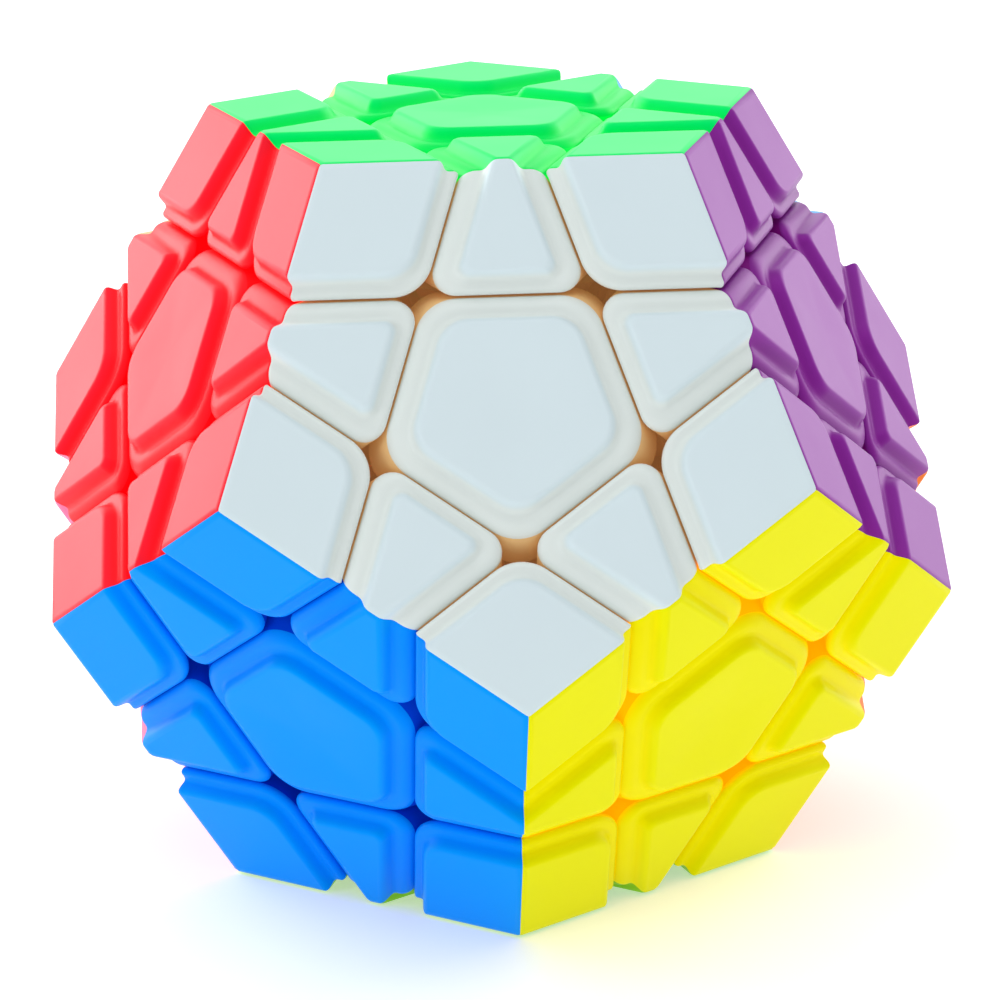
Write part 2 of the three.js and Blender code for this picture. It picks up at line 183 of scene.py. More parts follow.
def moulded_finish():
    """Node group for a finish: a soft cloud of tint, fine grain, rubbed patches and a border tinted with painted
    bounce light.

    The border is the part of a piece that lies lower than its panel, measured out along its own face.
    """
    group = bpy.data.node_groups.new("moulded_finish", "ShaderNodeTree")
    for name, kind, value in (
        ("Tint", "NodeSocketColor", (0.8, 0.8, 0.8, 1)),
        ("Shade", "NodeSocketColor", (0.7, 0.7, 0.7, 1)),
        ("Roughness", "NodeSocketFloat", 0.4),
        ("Rubbing", "NodeSocketFloat", 0.05),
        ("Cloud size", "NodeSocketFloat", 90.0),
        ("Grain size", "NodeSocketFloat", 3200.0),
        ("Border", "NodeSocketColor", (0.8, 0.8, 0.8, 1)),
        ("Face", "NodeSocketVector", (0.0, 0.0, 1.0)),
        ("Border until", "NodeSocketFloat", -2.0),
        ("Panel from", "NodeSocketFloat", -1.0),
    ):
        socket = group.interface.new_socket(name=name, in_out="INPUT", socket_type=kind)
        socket.default_value = value
    for name, kind in (
        ("Colour", "NodeSocketColor"),
        ("Roughness", "NodeSocketFloat"),
        ("Height", "NodeSocketFloat"),
    ):
        group.interface.new_socket(name=name, in_out="OUTPUT", socket_type=kind)
    nodes, links = group.nodes, group.links
    given = nodes.new("NodeGroupInput")
    out = nodes.new("NodeGroupOutput")
    place = nodes.new("ShaderNodeTexCoord")

    def noise(size, detail):
        node = nodes.new("ShaderNodeTexNoise")
        node.inputs["Detail"].default_value = detail
        links.new(place.outputs["Object"], node.inputs["Vector"])
        links.new(given.outputs[size], node.inputs["Scale"])
        return node.outputs["Fac"]

    cloud = noise("Cloud size", 2.0)
    grain = noise("Grain size", 3.0)
    blend = nodes.new("ShaderNodeMix")
    blend.data_type = "RGBA"
    links.new(cloud, blend.inputs["Factor"])
    links.new(given.outputs["Tint"], blend.inputs["A"])
    links.new(given.outputs["Shade"], blend.inputs["B"])

    # Below the panel the colour turns to the border's tint, painted bounce light on the shelf and walls.
    from_middle = nodes.new("ShaderNodeVectorMath")
    from_middle.operation = "SUBTRACT"
    from_middle.inputs[1].default_value = middle / 1000
    rise = nodes.new("ShaderNodeVectorMath")
    rise.operation = "DOT_PRODUCT"
    share = nodes.new("ShaderNodeMapRange")
    share.interpolation_type = "SMOOTHSTEP"
    bordered = nodes.new("ShaderNodeMix")
    bordered.data_type = "RGBA"
    links.new(place.outputs["Object"], from_middle.inputs[0])
    links.new(from_middle.outputs["Vector"], rise.inputs[0])
    links.new(given.outputs["Face"], rise.inputs[1])
    links.new(rise.outputs["Value"], share.inputs["Value"])
    links.new(given.outputs["Border until"], share.inputs["From Min"])
    links.new(given.outputs["Panel from"], share.inputs["From Max"])
    links.new(share.outputs["Result"], bordered.inputs["Factor"])
    links.new(given.outputs["Border"], bordered.inputs["A"])
    links.new(blend.outputs["Result"], bordered.inputs["B"])
    links.new(bordered.outputs["Result"], out.inputs["Colour"])

    rub = nodes.new("ShaderNodeMath")
    rub.operation = "MULTIPLY_ADD"
    links.new(cloud, rub.inputs[0])
    links.new(given.outputs["Rubbing"], rub.inputs[1])
    links.new(given.outputs["Roughness"], rub.inputs[2])
    links.new(rub.outputs["Value"], out.inputs["Roughness"])
    links.new(grain, out.inputs["Height"])
    return group


finish_group = moulded_finish()


def finished(name, bump, depth, values):
    """A material and its shader, with a finish of the given values laid on its colour, gloss and relief."""
    material = bpy.data.materials.new(name)
    material.use_nodes = True
    nodes, links = material.node_tree.nodes, material.node_tree.links
    shader = nodes["Principled BSDF"]
    finish = nodes.new("ShaderNodeGroup")
    finish.node_tree = finish_group
    for socket, value in values.items():
        finish.inputs[socket].default_value = value
    relief = nodes.new("ShaderNodeBump")
    relief.inputs["Strength"].default_value = bump
    relief.inputs["Distance"].default_value = depth
    links.new(finish.outputs["Colour"], shader.inputs["Base Color"])
    links.new(finish.outputs["Roughness"], shader.inputs["Roughness"])
    links.new(finish.outputs["Height"], relief.inputs["Height"])
    links.new(relief.outputs["Normal"], shader.inputs["Normal"])
    return material, shader


PLASTIC_RUBBING = 0.06
PLASTIC_GRAIN_DEPTH = 0.00004


def moulded(name, tint, shade, roughness, grain=3200.0, bump=0.04, shine=(1, 1, 1), ior=1.42, painted_glow=0.0,
            border=None):
    """A moulded plastic: its colour, what it clouds towards, and how strongly it glows in its own colour, a
    painted glow for light coming through it.

    A border is its colour, a tint of painted bounce light, the face it belongs to, and the heights where it ends
    and the panel begins.
    """
    values = {"Tint": (*tint, 1), "Shade": (*shade, 1), "Roughness": roughness, "Rubbing": PLASTIC_RUBBING}
    values["Grain size"] = grain
    if border:
        colour, face, low, high = border
        values |= {"Border": (*colour, 1), "Face": face, "Border until": low / 1000, "Panel from": high / 1000}
    material, shader = finished(name, bump, PLASTIC_GRAIN_DEPTH, values)
    shader.inputs["IOR"].default_value = ior
    shader.inputs["Specular Tint"].default_value = (*shine, 1)
    # Emission in the plastic's own tint is a painted glow, standing in for light that comes through it.
    shader.inputs["Emission Color"].default_value = (*tint, 1)
    shader.inputs["Emission Strength"].default_value = painted_glow
    material.diffuse_color = (*tint, 1)
    return material


nylon = moulded("core_nylon", (0.021, 0.023, 0.026), (0.035, 0.037, 0.040), 0.45, grain=2400.0)
core = make_piece("core_moulding", *joined([hub()] + [post(axis[c]) for c in colours]), [nylon])
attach(core, "core")
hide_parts("core")


# ------------------------------------------------------------------ screws, springs and washers
# Each centre is held by a plated steel screw with a cross recess in its pan head. A coil spring under
# the head presses on a washer at the bottom of the centre's well, which sets how stiffly a face turns.

HEAD_FROM = 29.5
HEAD_TO = 31.5
HEAD_RADIUS = 3.1
HEAD_ROUND = 0.15
HEAD_SIDE = 0.9
HEAD_DOME = (1.1, 1.0)
CROSS_ARM = 1.75
CROSS_WAIST = 0.75
CROSS_LINES = ((1.0, 0.03), (0.97, 0.12), (0.72, 1.2))
SHANK_RADIUS = 1.35
THREAD_PITCH = 1.0
THREAD_DEPTH = 0.2
SCREW_TIP = 14.2
SCREW_SIDES = 32
WELL_FLOOR = 23.0
WASHER_THICK = 0.4
WASHER_OUTER = 3.6
WASHER_CHAMFER = 0.08
WASHER_PLAY = 0.25
SPRING_RADIUS = 2.5
SPRING_WIRE = 0.3
SPRING_TURNS = 5.5
SPRING_CLEARANCE = 0.02
CLOSED_TURNS = 0.75


def screw(direction):
    """Pan head, plain neck and thread, from the middle of the head down to the tip."""
    profile = [(SHANK_RADIUS * 0.3, SCREW_TIP), (SHANK_RADIUS - THREAD_DEPTH, SCREW_TIP + 0.5)]
    height = SCREW_TIP + 0.6
    while height < POST_END - THREAD_PITCH:
        profile += [
            (SHANK_RADIUS - THREAD_DEPTH, height),
            (SHANK_RADIUS, height + THREAD_PITCH * 0.4),
            (SHANK_RADIUS, height + THREAD_PITCH * 0.5),
            (SHANK_RADIUS - THREAD_DEPTH, height + THREAD_PITCH * 0.9),
        ]
        height += THREAD_PITCH
    profile += [
        (SHANK_RADIUS, POST_END), (SHANK_RADIUS, HEAD_FROM - HEAD_ROUND), (SHANK_RADIUS + HEAD_ROUND, HEAD_FROM),
        (HEAD_RADIUS - HEAD_ROUND, HEAD_FROM), (HEAD_RADIUS, HEAD_FROM + HEAD_ROUND),
        (HEAD_RADIUS, HEAD_FROM + HEAD_SIDE),
    ]
    across, up = HEAD_DOME
    for t in (0.3, 0.6, 0.9, 1.2):
        profile.append((HEAD_RADIUS - across * (1 - math.cos(t)), HEAD_FROM + HEAD_SIDE + up * math.sin(t)))
    points, faces = turned(profile, direction, SCREW_SIDES)
    tip = len(points)
    points.append(direction * (SCREW_TIP - 0.2))
    faces += [((tip, (k + 1) % SCREW_SIDES, k), 0) for k in range(SCREW_SIDES)]
    # the cross recess: a ring in the shape of a cross, sunk and drawn in
    first, second = square_to(direction)
    last = len(points) - 1 - SCREW_SIDES
    quarter = SCREW_SIDES // 4
    for scale, sunk in CROSS_LINES:
        start = len(points)
        for k in range(SCREW_SIDES):
            a = 2 * math.pi * k / SCREW_SIDES
            arm = CROSS_ARM if k % quarter in (0, 1, quarter - 1) else CROSS_WAIST
            out = (first * math.cos(a) + second * math.sin(a)) * arm * scale
            points.append(direction * (HEAD_TO - sunk) + out)
        for k in range(SCREW_SIDES):
            k2 = (k + 1) % SCREW_SIDES
            faces.append(((last + k, last + k2, start + k2, start + k), 0))
        last = start
    faces.append((tuple(last + k for k in range(SCREW_SIDES)), 0))
    return points, faces


def spring(direction):
    """A coil of round wire with its end turns closed down flat."""
    first, second = square_to(direction)
    low = WELL_FLOOR + WASHER_THICK + SPRING_WIRE + SPRING_CLEARANCE
    high = HEAD_FROM - SPRING_WIRE - SPRING_CLEARANCE
    steps, around = int(SPRING_TURNS * 20), 8
    points, faces = [], []
    for i in range(steps + 1):
        share = i / steps
        climbed = (share * SPRING_TURNS - CLOSED_TURNS) / (SPRING_TURNS - 2 * CLOSED_TURNS)
        eased = min(1.0, max(0.0, climbed))
        height = low + (high - low) * eased
        a = 2 * math.pi * SPRING_TURNS * share
        out = first * math.cos(a) + second * math.sin(a)
        for k in range(around):
            b = 2 * math.pi * k / around
            wire = out * (SPRING_RADIUS + SPRING_WIRE * math.cos(b))
            points.append(wire + direction * (height + SPRING_WIRE * math.sin(b)))
    for i in range(steps):
        for k in range(around):
            k2 = (k + 1) % around
            faces.append(((i * around + k, i * around + k2, (i + 1) * around + k2, (i + 1) * around + k), 0))
    faces.append((tuple(range(around)), 0))
    faces.append((tuple(steps * around + k for k in range(around)), 0))
    return points, faces


def washer(direction):
    """A flat ring on the floor of the well, chamfered at both sides and round its hole."""
    low, high, chamfer = WELL_FLOOR + SPRING_CLEARANCE, WELL_FLOOR + WASHER_THICK, WASHER_CHAMFER
    inner, outer = SHANK_RADIUS + WASHER_PLAY, WASHER_OUTER
    profile = [
        (inner, low + chamfer), (inner + chamfer, low), (outer - chamfer, low), (outer, low + chamfer),
        (outer, high - chamfer), (outer - chamfer, high), (inner + chamfer, high),
        (inner, high - chamfer), (inner, low + chamfer),
    ]
    return turned(profile, direction, SCREW_SIDES)


def steel(name, tint, roughness):
    """Plated steel: fine scratches that break up the shine, and a slightly clouded plating."""
    material, shader = finished(name, 0.1, 0.00003, {
        "Tint": (*tint, 1), "Shade": (*[0.8 * c for c in tint], 1), "Roughness": roughness,
        "Rubbing": 0.12, "Cloud size": 700.0, "Grain size": 5000.0,
    })
    shader.inputs["Metallic"].default_value = 1.0
    return material


zinc = steel("zinc_plated_steel", (0.62, 0.63, 0.65), 0.28)
spring_wire = steel("spring_steel", (0.48, 0.49, 0.50), 0.22)
small_parts = (("screw", screw, zinc), ("spring", spring, spring_wire), ("washer", washer, zinc))
for colour in colours:
    for kind, make, material in small_parts:
        small = make_piece(f"{colour}_{kind}", *make(axis[colour]), [material])
        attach(small, "core")


# ------------------------------------------------------------------ corner pieces
# A corner is three moulded shells, one of each colour, closed over one another along fine seams. Every
# shell carries a raised panel that runs out to the seams and is rounded towards the middle of its face.
# Under the shells a stalk goes down to a foot that the edges beside it hold.

FACE_TILT = math.acos(1 / math.sqrt(5))
FIFTH = 2 * math.pi / 5
INRADIUS = middle.z
RIM_SHARE = math.tan(FACE_TILT / 2)
PANEL_RISE = 1.2
SHELF = INRADIUS - PANEL_RISE
CUT_DISTANCE = INRADIUS - 12.2
CUT_GAP = 0.11
# The round of a seam starts this far in from the rim, and sinks its middle by a share of that.
SEAM_ROUND = 0.42
SEAM_SUNK = 0.284 * SEAM_ROUND
VERTEX_SUNK = 0.55 * SEAM_ROUND
EDGE_TANGENT = 0.9
WALL_DEPTH = 5.0

# The section across the border of a piece, from its deep wall to the flat of its panel: how far a line
# lies above the shelf, and how far in from the piece's side. The wall and its rounded edge come by rule.
WALL_LINES = (-WALL_DEPTH, -3.0, -1.6)
ROUND_LINES = (-0.805, -0.68, -0.54, -0.40, -0.27, -0.16, -0.08, -0.03, -0.008, 0.0)
PANEL_LINES = (
    (1.20, 0.0), (1.34, 0.015), (1.48, 0.062), (1.60, 0.15), (1.71, 0.29), (1.86, 0.58), (1.96, 0.77),
    (2.06, 0.92), (2.18, 1.05), (2.32, 1.14), (2.45, 1.185), (2.58, PANEL_RISE),
)
FLAT_LINE = 2.76
RIM_HOLD = 0.3
MIDDLE_OF_WALL = 1.75
SMALLEST_TIP = 0.3


def side_at(own, inset):
    """Distance from a face's middle to the line where a layer's flat meets the shelf, drawn in by inset."""
    sign = 1 if own else -1
    flat = (CUT_DISTANCE + sign * CUT_GAP - SHELF * math.cos(FACE_TILT)) / math.sin(FACE_TILT)
    return flat + sign * inset


def edge_inset(above_shelf, own):
    """How far in from its side a piece's wall and rounded edge are, at a line below the shelf."""
    slope = 0.5 if own else -0.5
    if above_shelf <= ROUND_LINES[0]:
        return -above_shelf * slope
    half = (FACE_TILT if own else math.pi - FACE_TILT) / 2
    radius = EDGE_TANGENT * math.tan(half)
    return EDGE_TANGENT - math.sqrt(max(0.0, radius ** 2 - (above_shelf + radius) ** 2))


def section():
    """Every line of the section as (height above the middle, inset at own sides, inset at far sides)."""
    lines = [(SHELF + h, edge_inset(h, True), edge_inset(h, False)) for h in WALL_LINES + ROUND_LINES]
    return lines + [(SHELF + h, inset, inset) for inset, h in PANEL_LINES]


def tip_radius(inset, outer, panel):
    """The round of a tip on one line of the section: from the body's at the side to the panel's."""
    if inset <= 0:
        return outer
    if inset < MIDDLE_OF_WALL:
        return outer + (panel - outer) * inset / MIDDLE_OF_WALL
    return max(SMALLEST_TIP, panel - 0.5 * (inset - MIDDLE_OF_WALL))


def outline(sides):
    """Points round a facet whose sides are (angle, distance, radius after it, steps), counter-clockwise."""
    corners = []
    for i, (angle, distance, radius, steps) in enumerate(sides):
        after = sides[(i + 1) % len(sides)]
        one = np.array([math.cos(angle), math.sin(angle)])
        two = np.array([math.cos(after[0]), math.sin(after[0])])
        here = np.linalg.solve(np.array([one, two]), np.array([distance, after[1]]))
        if radius == 0:
            corners.append([here])
            continue
        bend = (after[0] - angle) % (2 * math.pi)
        heart = here - (one + two) * radius / (1 + math.cos(bend))
        arc = [angle + bend * k / steps for k in range(steps + 1)]
        corners.append([heart + radius * np.array([math.cos(a), math.sin(a)]) for a in arc])
    return corners


def in_space(flat, height, face, towards):
    """A point of a facet in space: flat is its place in the face, with X towards a neighbour."""
    normal = axis[face]
    x = (axis[towards] - normal * axis[towards].dot(normal)).normalized()
    y = normal.cross(x)
    return x * float(flat[0]) + y * float(flat[1]) + normal * height


TIP_STEPS = 14
CORNER_TIP = (4.2, 3.4)
# the face that a pattern facet lies in, and its neighbours counter-clockwise from X
PATTERN = ("green", "white", "purple")


def corner_sides(line, rim_in, hold=0.0):
    """The sides of a corner's facet on one line of the section; rim_in is how far the seams are drawn in."""
    height, own, _ = line
    radius = tip_radius(own, *CORNER_TIP)
    rim = height * RIM_SHARE - rim_in
    groove = side_at(True, own + hold)
    return [
        (FIFTH, rim, 0, 0),
        (math.pi, -groove, radius, TIP_STEPS),
        (FIFTH + math.pi, -groove, 0, 0),
        (0.0, rim, 0, 0),
    ]


def corner_facet():
    """One shell of a corner: its walls, shelf, panel and half of each seam."""
    face, one, two = PATTERN
    seam_one = (axis[face] + axis[one]).normalized()
    seam_two = (axis[face] + axis[two]).normalized()
    tip = (axis[face] + axis[one] + axis[two]).normalized()
    lines = section()
    points, faces, rows = [], [], []

    def add(point):
        points.append(point)
        return len(points) - 1

    for line in lines:
        height = line[0]
        flat = [p for corner in outline(corner_sides(line, SEAM_ROUND))[:3] for p in corner]
        sharp = outline(corner_sides(line, 0.0))
        start = in_space(sharp[0][0], height, face, one) - seam_two * SEAM_SUNK
        end = in_space(sharp[2][0], height, face, one) - seam_one * SEAM_SUNK
        row = [add(start)] + [add(in_space(p, height, face, one)) for p in flat] + [add(end)]
        rows.append(row)
    for k, (low, high) in enumerate(zip(rows, rows[1:])):
        # the deep walls take the inside plastic, whose tint is painted shade
        inside = 1 if k < len(WALL_LINES) else 0
        for j in range(len(low) - 1):
            faces.append(((low[j], low[j + 1], high[j + 1], high[j]), inside))
    top = lines[-1]
    height = top[0]
    rim_corner = outline(corner_sides(top, SEAM_ROUND))[3][0]
    far = add(in_space(rim_corner, height, face, one))
    rim = height * RIM_SHARE
    across_two = np.array([math.cos(FIFTH), math.sin(FIFTH)])
    foot_two = rim_corner + across_two * SEAM_ROUND
    end_one = add(in_space((rim, rim_corner[1]), height, face, one) - seam_one * SEAM_SUNK)
    end_two = add(in_space(foot_two, height, face, one) - seam_two * SEAM_SUNK)
    vertex = add(tip * (height / axis[face].dot(tip) - VERTEX_SUNK))
    ring = rows[-1][1:-1]
    faces.append(((ring[-1], far, end_one, rows[-1][-1]), 0))
    faces.append(((far, ring[0], rows[-1][0], end_two), 0))
    faces.append(((far, end_two, vertex, end_one), 0))
    # the flat of the panel, with a narrow border that keeps it flat to the eye
    hold = outline(corner_sides((height, top[1], top[2]), SEAM_ROUND + RIM_HOLD, FLAT_LINE - PANEL_LINES[-1][0]))
    inner = [add(in_space(p, height, face, one)) for corner in hold for p in corner]
    border = ring + [far]
    for j in range(len(border)):
        j2 = (j + 1) % len(border)
        faces.append(((border[j], border[j2], inner[j2], inner[j]), 0))
    faces.append((tuple(inner), 0))
    # the underside closes to the point where the three flats meet
    apex = add(tip * ((CUT_DISTANCE + CUT_GAP) / axis[face].dot(tip)))
    for j in range(len(rows[0]) - 1):
        faces.append(((rows[0][j + 1], rows[0][j], apex), 1))
    return points, faces


# The border of a layer round the feet is a cone, from its neck at the cut to its foot near the core.
NECK_RADIUS = CUT_DISTANCE * math.tan(math.radians(43))
CONE_FOOT = 20.3
CONE_FOOT_ANGLE = math.radians(50)
CONE_GAP = 0.33


def cone_angle(distance, sign):
    """Polar angle of a layer's border, at a distance from the middle. Sign 1 is outside the layer."""
    foot_radius = CONE_FOOT * math.sin(CONE_FOOT_ANGLE)
    foot_height = CONE_FOOT * math.cos(CONE_FOOT_ANGLE)
    slope = (NECK_RADIUS - foot_radius) / (CUT_DISTANCE - foot_height)
    shift = sign * CONE_GAP * math.hypot(1, slope)
    low, high = 0.0, math.radians(80)
    for _ in range(40):
        t = (low + high) / 2
        radius, height = distance * math.sin(t), distance * math.cos(t)
        if radius > NECK_RADIUS + shift + slope * (height - CUT_DISTANCE):
            high = t
        else:
            low = t
    return low


FOOT_TOP = 34.3
FOOT_END = 20.6
FOOT_LINES = (FOOT_TOP, 32.5, 30.5, 28.5, 26.5, 24.5, 22.8, 21.5, 20.95)
SOFTNESS = 2.6


def reach_of_foot(direction, out, distance, within, clear_of):
    """How far from a piece's own direction its stalk or foot may go, as an angle, with softened corners."""
    own = cone_angle(distance, -1)
    other = cone_angle(distance, 1)

    def room(angle):
        ray = direction * math.cos(angle) + out * math.sin(angle)
        gaps = [own - ray.angle(axis[c]) for c in within]
        gaps += [ray.angle(axis[c]) - other for c in clear_of]
        return -math.log(sum(math.exp(-SOFTNESS * g * distance) for g in gaps)) / SOFTNESS

    low, high = 0.0, math.radians(45)
    for _ in range(26):
        angle = (low + high) / 2
        if room(angle) > 0:
            low = angle
        else:
            high = angle
    return low


def foot(direction, first, within, clear_of, sides=36):
    """A stalk that flares into a foot, between the borders of the layers. Colours meet on the seams."""
    second = direction.cross(first)
    points, faces = [], []
    lines = [(d, 1.0) for d in FOOT_LINES] + [(FOOT_END + 0.08, 0.97), (FOOT_END, 0.88)]
    for distance, share in lines:
        for k in range(sides):
            a = 2 * math.pi * k / sides
            out = first * math.cos(a) + second * math.sin(a)
            angle = share * reach_of_foot(direction, out, max(distance, FOOT_LINES[-1]), within, clear_of)
            points.append((direction * math.cos(angle) + out * math.sin(angle)) * distance)
    top, bottom = len(points), len(points) + 1
    points += [direction * FOOT_TOP, direction * FOOT_END]
    last = (len(lines) - 1) * sides

    def colour_of(k):
        a = 2 * math.pi * (k + 0.5) / sides
        out = first * math.cos(a) + second * math.sin(a)
        return 2 * max(range(len(within)), key=lambda i: out.dot(axis[within[i]])) + 1

    for k in range(sides):
        k2 = (k + 1) % sides
        for i in range(len(lines) - 1):
            ring = (i * sides + k, (i + 1) * sides + k, (i + 1) * sides + k2, i * sides + k2)
            faces.append((ring, colour_of(k)))
        faces.append(((top, k, k2), colour_of(k)))
        faces.append(((bottom, last + k2, last + k), colour_of(k)))
    return points, faces


def corner_pattern():
    """The corner between green, white and purple: three shells and a foot."""
    tip = sum((axis[c] for c in PATTERN), Vector()).normalized()
    step = Matrix.Rotation(2 * math.pi / 3, 3, tip)
    if (step @ axis[PATTERN[0]] - axis[PATTERN[1]]).length > 0.1:
        step = step.transposed()
    points, faces = corner_facet()
    shells = []
    for k, turn in enumerate((Matrix.Identity(3), step, step @ step)):
        shells.append(([turn @ p for p in points], [(ring, number + 2 * k) for ring, number in faces]))
    first = (axis[PATTERN[0]] - tip * axis[PATTERN[0]].dot(tip)).normalized()
    return joined(shells + [foot(tip, first, PATTERN, ())])


# Each colour is moulded right through. The low border of a piece takes a warmer or fuller tint than its panel,
# which is painted bounce light, and its inside a deeper tint, which is painted shade. Emission in the colour's
# own tint is a painted glow for light coming through the thin walls: faint on the outside, where it lifts the
# shadows, and stronger on the inside, between the pieces. A colour has the tint of its panel, its border and
# its inside, how much its inside glows, and its IOR.
PLASTICS = {
    "green": ((0.0, 0.84, 0.16), (0.0, 0.82, 0.11), (0.0, 0.72, 0.07), 0.50, 1.42),
    "white": ((0.72, 0.835, 0.875), (0.775, 0.83, 0.80), (0.88, 0.58, 0.26), 0.05, 1.38),
    "purple": ((0.25, 0.025, 0.31), (0.235, 0.02, 0.28), (0.19, 0.005, 0.18), 0.14, 1.40),
    "sky": ((0.16, 0.52, 0.86), (0.13, 0.47, 0.84), (0.11, 0.42, 0.78), 0.15, 1.38),
    "cream": ((0.70, 0.59, 0.29), (0.70, 0.56, 0.24), (0.68, 0.48, 0.17), 0.12, 1.38),
    "red": ((0.90, 0.014, 0.032), (0.91, 0.010, 0.018), (0.90, 0.001, 0.003), 0.75, 1.42),
    "grey": ((0.22, 0.24, 0.26), (0.20, 0.215, 0.23), (0.17, 0.18, 0.19), 0.05, 1.38),
    "pink": ((0.85, 0.25, 0.45), (0.83, 0.20, 0.38), (0.80, 0.16, 0.33), 0.25, 1.38),
    "blue": ((0.0, 0.32, 0.98), (0.0, 0.27, 0.97), (0.0, 0.045, 0.56), 0.14, 1.22),
    "yellow": ((0.84, 0.82, 0.0), (0.89, 0.80, 0.0), (0.98, 0.44, 0.0), 0.45, 1.20),
    "orange": ((0.90, 0.23, 0.01), (0.88, 0.18, 0.005), (0.82, 0.13, 0.0), 0.40, 1.38),
    "lime": ((0.30, 0.66, 0.02), (0.27, 0.61, 0.015), (0.22, 0.52, 0.01), 0.10, 1.38),
}
CLOUDED = 0.965
PAINTED_GLOW_OUTSIDE = 0.15
# The border's painted bounce-light tint holds up to the first height and gives way to the panel's tint by the
# second.
BORDER_UNTIL = SHELF + 0.15
PANEL_FROM = SHELF + 1.05
plastic = {}
for colour, (tint, bounce_tint, inside, painted_glow, ior) in PLASTICS.items():
    gloss = {"shine": [c / max(tint) for c in tint], "ior": ior}
    cloud = [CLOUDED * c for c in tint]
    painted_shade_cloud = [CLOUDED * c for c in inside]
    border = (bounce_tint, axis[colour], BORDER_UNTIL, PANEL_FROM)
    # The outside carries its border's painted bounce light and a faint painted glow; the inside carries a painted
    # shade tint and a stronger painted glow.
    plastic[colour] = (
        moulded(f"{colour}_plastic", tint, cloud, 0.36, painted_glow=PAINTED_GLOW_OUTSIDE * painted_glow, border=border, **gloss),
        moulded(f"{colour}_plastic_inside_painted_shade", inside, painted_shade_cloud, 0.46, bump=0.08, painted_glow=painted_glow, **gloss),
    )


def carried(points, start, end):
    """Points carried from the pattern's place to the place where the two named faces are."""
    def basis(names):
        x = axis[names[0]]
        z = x.cross(axis[names[1]]).normalized()
        return Matrix((x, z.cross(x), z)).transposed()
    turn = basis(end) @ basis(start).transposed()
    return [turn @ p for p in points]


# Three pairs of pieces never part while the lime face is held, and ride together as one body.
HELD_WITH = {"centre_lime": "core", "edge_grey_lime": "centre_grey", "corner_grey_orange_lime": "edge_grey_orange"}
body_with = {node: body for body, nodes in bodies.items() for node in nodes}


def put_together(kind, names, pattern, start, faces):
    """One piece of a kind, in its place and its colours, riding on its body."""
    points, rings = pattern
    # Each face lends its outside plastic and its inside plastic, whose deeper tint is painted shade on the walls,
    # stalks and feet.
    materials = [m for face in faces for m in plastic[face]]
    piece = make_piece(f"{'_'.join(names)}_{kind}", carried(points, start, faces), rings, materials)
    node = "_".join((kind, *names))
    node = HELD_WITH.get(node, node)
    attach(piece, body_with[node])
    if node != "core":
        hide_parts(node)
    return piece


pattern = corner_pattern()
for i, a in enumerate(colours):
    for j in range(i + 1, len(colours)):
        for k in range(j + 1, len(colours)):
            b, c = colours[j], colours[k]
            if touch(a, b, c):
                order = (a, b, c) if axis[a].cross(axis[b]).dot(axis[c]) > 0 else (a, c, b)
                put_together("corner", (a, b, c), pattern, PATTERN, order)


# ------------------------------------------------------------------ edge pieces
# An edge is two moulded shells with a seam between them along the rim. Its panels are almost triangles,
# narrow at the seam and broad towards the middle of the face, and its foot is held by the two centres.

EDGE_TIP = (2.0, 1.0)
EDGE_TIP_STEPS = 8


def edge_sides(line, rim_in, hold=0.0):
    """The sides of an edge's facet on one line of the section, as for a corner's."""
    height, own, far = line
    rim = height * RIM_SHARE - rim_in
    radius = tip_radius((own + far) / 2, *EDGE_TIP)
    groove = side_at(True, own + hold)
    end = side_at(False, far + hold)
    return [
        (0.0, rim, 0, 0),
        (FIFTH, end, radius, EDGE_TIP_STEPS),
        (math.pi, -groove, radius, EDGE_TIP_STEPS),
        (-FIFTH, end, 0, 0),
    ]


def edge_facet():
    """One shell of an edge: its walls, shelf and panel, and half of the seam."""
    face, one = PATTERN[:2]
    seam = (axis[face] + axis[one]).normalized()
    off_seam = (axis[face] - axis[one]).normalized()
    lines = section()
    points, faces, rows = [], [], []

    def add(point):
        points.append(point)
        return len(points) - 1

    for line in lines:
        height = line[0]
        flat = [p for corner in outline(edge_sides(line, SEAM_ROUND)) for p in corner]
        sharp = outline(edge_sides(line, 0.0))
        start = in_space(sharp[0][0], height, face, one) - seam * SEAM_SUNK
        end = in_space(sharp[3][0], height, face, one) - seam * SEAM_SUNK
        rows.append([add(start)] + [add(in_space(p, height, face, one)) for p in flat] + [add(end)])
    for k, (low, high) in enumerate(zip(rows, rows[1:])):
        inside = 1 if k < len(WALL_LINES) else 0
        # the deep walls take the inside plastic, whose tint is painted shade
        for j in range(len(low) - 1):
            faces.append(((low[j], low[j + 1], high[j + 1], high[j]), inside))
    top = lines[-1]
    ring = rows[-1][1:-1]
    faces.append(((ring[-1], ring[0], rows[-1][0], rows[-1][-1]), 0))
    hold = outline(edge_sides(top, SEAM_ROUND + RIM_HOLD, FLAT_LINE - PANEL_LINES[-1][0]))
    inner = [add(in_space(p, top[0], face, one)) for corner in hold for p in corner]
    for j in range(len(ring)):
        j2 = (j + 1) % len(ring)
        faces.append(((ring[j], ring[j2], inner[j2], inner[j]), 0))
    faces.append((tuple(inner), 0))
    # the underside, as far as the seam's plane
    low = rows[0]
    under = [add(points[i] - off_seam * points[i].dot(off_seam)) for i in low[1:-1]]
    for j in range(len(under) - 1):
        faces.append(((low[j + 2], low[j + 1], under[j], under[j + 1]), 1))
    faces.append(((low[1], low[0], under[0]), 1))
    faces.append(((low[-1], low[-2], under[-1]), 1))
    return points, faces


